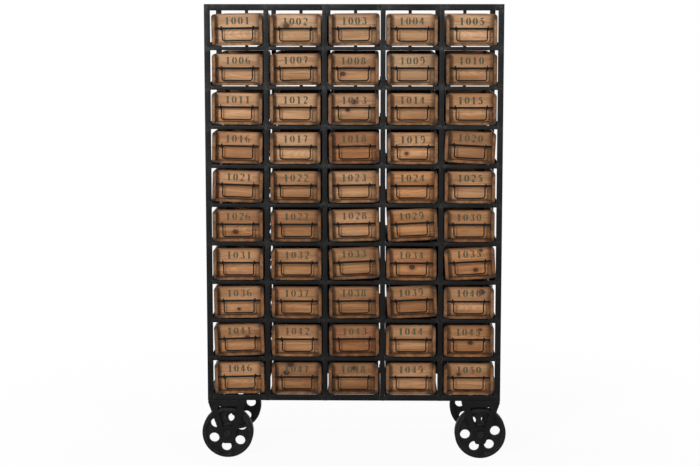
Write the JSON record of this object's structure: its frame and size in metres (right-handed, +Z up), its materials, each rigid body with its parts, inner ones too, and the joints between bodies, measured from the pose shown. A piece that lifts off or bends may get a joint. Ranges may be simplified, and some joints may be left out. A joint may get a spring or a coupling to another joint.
{
  "type": "parts bin cabinet",
  "caption": "Open iron frame on cast-iron wheels, holding a grid of pull-out wooden parts bins with rod handles and wire bails.",
  "frame": {"origin": "on the floor, under the middle of the cabinet", "axes": "+Z up, +X to the right as seen from the front, the bins pull out towards -Y"},
  "size_m": [1.209, 0.5184, 1.798],
  "materials": {
    "frame_iron": "satin black, worn at the edges",
    "axle_steel": "blackened steel",
    "wheel_iron": "black cast iron",
    "bin_wood": "waxed old pine",
    "handle_iron": "black wire and rod",
    "number_ink": "worn stencil ink"
  },
  "bodies": {
    "frame": {"front_frame": "frame_iron", "rear_frame": "frame_iron", "depth_rails": "frame_iron", "bin_runners": "frame_iron", "caster_brackets": "frame_iron", "axle_bolts": "axle_steel"},
    "wheel_front_left": {"wheel_front_left": "wheel_iron"},
    "wheel_front_right": {"wheel_front_right": "wheel_iron"},
    "wheel_rear_left": {"wheel_rear_left": "wheel_iron"},
    "wheel_rear_right": {"wheel_rear_right": "wheel_iron"},
    "bin_01": {"bin_01": "bin_wood"},
    "bin_02": {"bin_02": "bin_wood"},
    "bin_03": {"bin_03": "bin_wood"},
    "bin_04": {"bin_04": "bin_wood"},
    "bin_05": {"bin_05": "bin_wood"},
    "bin_06": {"bin_06": "bin_wood"},
    "bin_07": {"bin_07": "bin_wood"},
    "bin_08": {"bin_08": "bin_wood"},
    "bin_09": {"bin_09": "bin_wood"},
    "bin_10": {"bin_10": "bin_wood"},
    "bin_11": {"bin_11": "bin_wood"},
    "bin_12": {"bin_12": "bin_wood"},
    "bin_13": {"bin_13": "bin_wood"},
    "bin_14": {"bin_14": "bin_wood"},
    "bin_15": {"bin_15": "bin_wood"},
    "bin_16": {"bin_16": "bin_wood"},
    "bin_17": {"bin_17": "bin_wood"},
    "bin_18": {"bin_18": "bin_wood"},
    "bin_19": {"bin_19": "bin_wood"},
    "bin_20": {"bin_20": "bin_wood"},
    "bin_21": {"bin_21": "bin_wood"},
    "bin_22": {"bin_22": "bin_wood"},
    "bin_23": {"bin_23": "bin_wood"},
    "bin_24": {"bin_24": "bin_wood"},
    "bin_25": {"bin_25": "bin_wood"},
    "bin_26": {"bin_26": "bin_wood"},
    "bin_27": {"bin_27": "bin_wood"},
    "bin_28": {"bin_28": "bin_wood"},
    "bin_29": {"bin_29": "bin_wood"},
    "bin_30": {"bin_30": "bin_wood"},
    "bin_31": {"bin_31": "bin_wood"},
    "bin_32": {"bin_32": "bin_wood"},
    "bin_33": {"bin_33": "bin_wood"},
    "bin_34": {"bin_34": "bin_wood"},
    "bin_35": {"bin_35": "bin_wood"},
    "bin_36": {"bin_36": "bin_wood"},
    "bin_37": {"bin_37": "bin_wood"},
    "bin_38": {"bin_38": "bin_wood"},
    "bin_39": {"bin_39": "bin_wood"},
    "bin_40": {"bin_40": "bin_wood"},
    "bin_41": {"bin_41": "bin_wood"},
    "bin_42": {"bin_42": "bin_wood"},
    "bin_43": {"bin_43": "bin_wood"},
    "bin_44": {"bin_44": "bin_wood"},
    "bin_45": {"bin_45": "bin_wood"},
    "bin_46": {"bin_46": "bin_wood"},
    "bin_47": {"bin_47": "bin_wood"},
    "bin_48": {"bin_48": "bin_wood"},
    "bin_49": {"bin_49": "bin_wood"},
    "bin_50": {"bin_50": "bin_wood"}
  },
  "joints": [
    {"name": "bin_01_slide", "type": "slide", "parent": "frame", "child": "bin_01", "axis": [0, -1, 0], "range_m": [0, 0.34]},
    {"name": "bin_02_slide", "type": "slide", "parent": "frame", "child": "bin_02", "axis": [0, -1, 0], "range_m": [0, 0.34]},
    {"name": "bin_03_slide", "type": "slide", "parent": "frame", "child": "bin_03", "axis": [0, -1, 0], "range_m": [0, 0.34]},
    {"name": "bin_04_slide", "type": "slide", "parent": "frame", "child": "bin_04", "axis": [0, -1, 0], "range_m": [0, 0.34]},
    {"name": "bin_05_slide", "type": "slide", "parent": "frame", "child": "bin_05", "axis": [0, -1, 0], "range_m": [0, 0.34]},
    {"name": "bin_06_slide", "type": "slide", "parent": "frame", "child": "bin_06", "axis": [0, -1, 0], "range_m": [0, 0.34]},
    {"name": "bin_07_slide", "type": "slide", "parent": "frame", "child": "bin_07", "axis": [0, -1, 0], "range_m": [0, 0.34]},
    {"name": "bin_08_slide", "type": "slide", "parent": "frame", "child": "bin_08", "axis": [0, -1, 0], "range_m": [0, 0.34]},
    {"name": "bin_09_slide", "type": "slide", "parent": "frame", "child": "bin_09", "axis": [0, -1, 0], "range_m": [0, 0.34]},
    {"name": "bin_10_slide", "type": "slide", "parent": "frame", "child": "bin_10", "axis": [0, -1, 0], "range_m": [0, 0.34]},
    {"name": "bin_11_slide", "type": "slide", "parent": "frame", "child": "bin_11", "axis": [0, -1, 0], "range_m": [0, 0.34]},
    {"name": "bin_12_slide", "type": "slide", "parent": "frame", "child": "bin_12", "axis": [0, -1, 0], "range_m": [0, 0.34]},
    {"name": "bin_13_slide", "type": "slide", "parent": "frame", "child": "bin_13", "axis": [0, -1, 0], "range_m": [0, 0.34]},
    {"name": "bin_14_slide", "type": "slide", "parent": "frame", "child": "bin_14", "axis": [0, -1, 0], "range_m": [0, 0.34]},
    {"name": "bin_15_slide", "type": "slide", "parent": "frame", "child": "bin_15", "axis": [0, -1, 0], "range_m": [0, 0.34]},
    {"name": "bin_16_slide", "type": "slide", "parent": "frame", "child": "bin_16", "axis": [0, -1, 0], "range_m": [0, 0.34]},
    {"name": "bin_17_slide", "type": "slide", "parent": "frame", "child": "bin_17", "axis": [0, -1, 0], "range_m": [0, 0.34]},
    {"name": "bin_18_slide", "type": "slide", "parent": "frame", "child": "bin_18", "axis": [0, -1, 0], "range_m": [0, 0.34]},
    {"name": "bin_19_slide", "type": "slide", "parent": "frame", "child": "bin_19", "axis": [0, -1, 0], "range_m": [0, 0.34]},
    {"name": "bin_20_slide", "type": "slide", "parent": "frame", "child": "bin_20", "axis": [0, -1, 0], "range_m": [0, 0.34]},
    {"name": "bin_21_slide", "type": "slide", "parent": "frame", "child": "bin_21", "axis": [0, -1, 0], "range_m": [0, 0.34]},
    {"name": "bin_22_slide", "type": "slide", "parent": "frame", "child": "bin_22", "axis": [0, -1, 0], "range_m": [0, 0.34]},
    {"name": "bin_23_slide", "type": "slide", "parent": "frame", "child": "bin_23", "axis": [0, -1, 0], "range_m": [0, 0.34]},
    {"name": "bin_24_slide", "type": "slide", "parent": "frame", "child": "bin_24", "axis": [0, -1, 0], "range_m": [0, 0.34]},
    {"name": "bin_25_slide", "type": "slide", "parent": "frame", "child": "bin_25", "axis": [0, -1, 0], "range_m": [0, 0.34]},
    {"name": "bin_26_slide", "type": "slide", "parent": "frame", "child": "bin_26", "axis": [0, -1, 0], "range_m": [0, 0.34]},
    {"name": "bin_27_slide", "type": "slide", "parent": "frame", "child": "bin_27", "axis": [0, -1, 0], "range_m": [0, 0.34]},
    {"name": "bin_28_slide", "type": "slide", "parent": "frame", "child": "bin_28", "axis": [0, -1, 0], "range_m": [0, 0.34]},
    {"name": "bin_29_slide", "type": "slide", "parent": "frame", "child": "bin_29", "axis": [0, -1, 0], "range_m": [0, 0.34]},
    {"name": "bin_30_slide", "type": "slide", "parent": "frame", "child": "bin_30", "axis": [0, -1, 0], "range_m": [0, 0.34]},
    {"name": "bin_31_slide", "type": "slide", "parent": "frame", "child": "bin_31", "axis": [0, -1, 0], "range_m": [0, 0.34]},
    {"name": "bin_32_slide", "type": "slide", "parent": "frame", "child": "bin_32", "axis": [0, -1, 0], "range_m": [0, 0.34]},
    {"name": "bin_33_slide", "type": "slide", "parent": "frame", "child": "bin_33", "axis": [0, -1, 0], "range_m": [0, 0.34]},
    {"name": "bin_34_slide", "type": "slide", "parent": "frame", "child": "bin_34", "axis": [0, -1, 0], "range_m": [0, 0.34]},
    {"name": "bin_35_slide", "type": "slide", "parent": "frame", "child": "bin_35", "axis": [0, -1, 0], "range_m": [0, 0.34]},
    {"name": "bin_36_slide", "type": "slide", "parent": "frame", "child": "bin_36", "axis": [0, -1, 0], "range_m": [0, 0.34]},
    {"name": "bin_37_slide", "type": "slide", "parent": "frame", "child": "bin_37", "axis": [0, -1, 0], "range_m": [0, 0.34]},
    {"name": "bin_38_slide", "type": "slide", "parent": "frame", "child": "bin_38", "axis": [0, -1, 0], "range_m": [0, 0.34]},
    {"name": "bin_39_slide", "type": "slide", "parent": "frame", "child": "bin_39", "axis": [0, -1, 0], "range_m": [0, 0.34]},
    {"name": "bin_40_slide", "type": "slide", "parent": "frame", "child": "bin_40", "axis": [0, -1, 0], "range_m": [0, 0.34]},
    {"name": "bin_41_slide", "type": "slide", "parent": "frame", "child": "bin_41", "axis": [0, -1, 0], "range_m": [0, 0.34]},
    {"name": "bin_42_slide", "type": "slide", "parent": "frame", "child": "bin_42", "axis": [0, -1, 0], "range_m": [0, 0.34]},
    {"name": "bin_43_slide", "type": "slide", "parent": "frame", "child": "bin_43", "axis": [0, -1, 0], "range_m": [0, 0.34]},
    {"name": "bin_44_slide", "type": "slide", "parent": "frame", "child": "bin_44", "axis": [0, -1, 0], "range_m": [0, 0.34]},
    {"name": "bin_45_slide", "type": "slide", "parent": "frame", "child": "bin_45", "axis": [0, -1, 0], "range_m": [0, 0.34]},
    {"name": "bin_46_slide", "type": "slide", "parent": "frame", "child": "bin_46", "axis": [0, -1, 0], "range_m": [0, 0.34]},
    {"name": "bin_47_slide", "type": "slide", "parent": "frame", "child": "bin_47", "axis": [0, -1, 0], "range_m": [0, 0.34]},
    {"name": "bin_48_slide", "type": "slide", "parent": "frame", "child": "bin_48", "axis": [0, -1, 0], "range_m": [0, 0.34]},
    {"name": "bin_49_slide", "type": "slide", "parent": "frame", "child": "bin_49", "axis": [0, -1, 0], "range_m": [0, 0.34]},
    {"name": "bin_50_slide", "type": "slide", "parent": "frame", "child": "bin_50", "axis": [0, -1, 0], "range_m": [0, 0.34]},
    {"name": "wheel_front_left_axle", "type": "hinge", "parent": "frame", "child": "wheel_front_left", "pos_m": [-0.503, -0.2205, 0.1015], "axis": [0, 1, 0], "continuous": true},
    {"name": "wheel_front_right_axle", "type": "hinge", "parent": "frame", "child": "wheel_front_right", "pos_m": [0.503, -0.2205, 0.1015], "axis": [0, 1, 0], "continuous": true},
    {"name": "wheel_rear_left_axle", "type": "hinge", "parent": "frame", "child": "wheel_rear_left", "pos_m": [-0.503, 0.2205, 0.1015], "axis": [0, 1, 0], "continuous": true},
    {"name": "wheel_rear_right_axle", "type": "hinge", "parent": "frame", "child": "wheel_rear_right", "pos_m": [0.503, 0.2205, 0.1015], "axis": [0, 1, 0], "continuous": true}
  ]
}
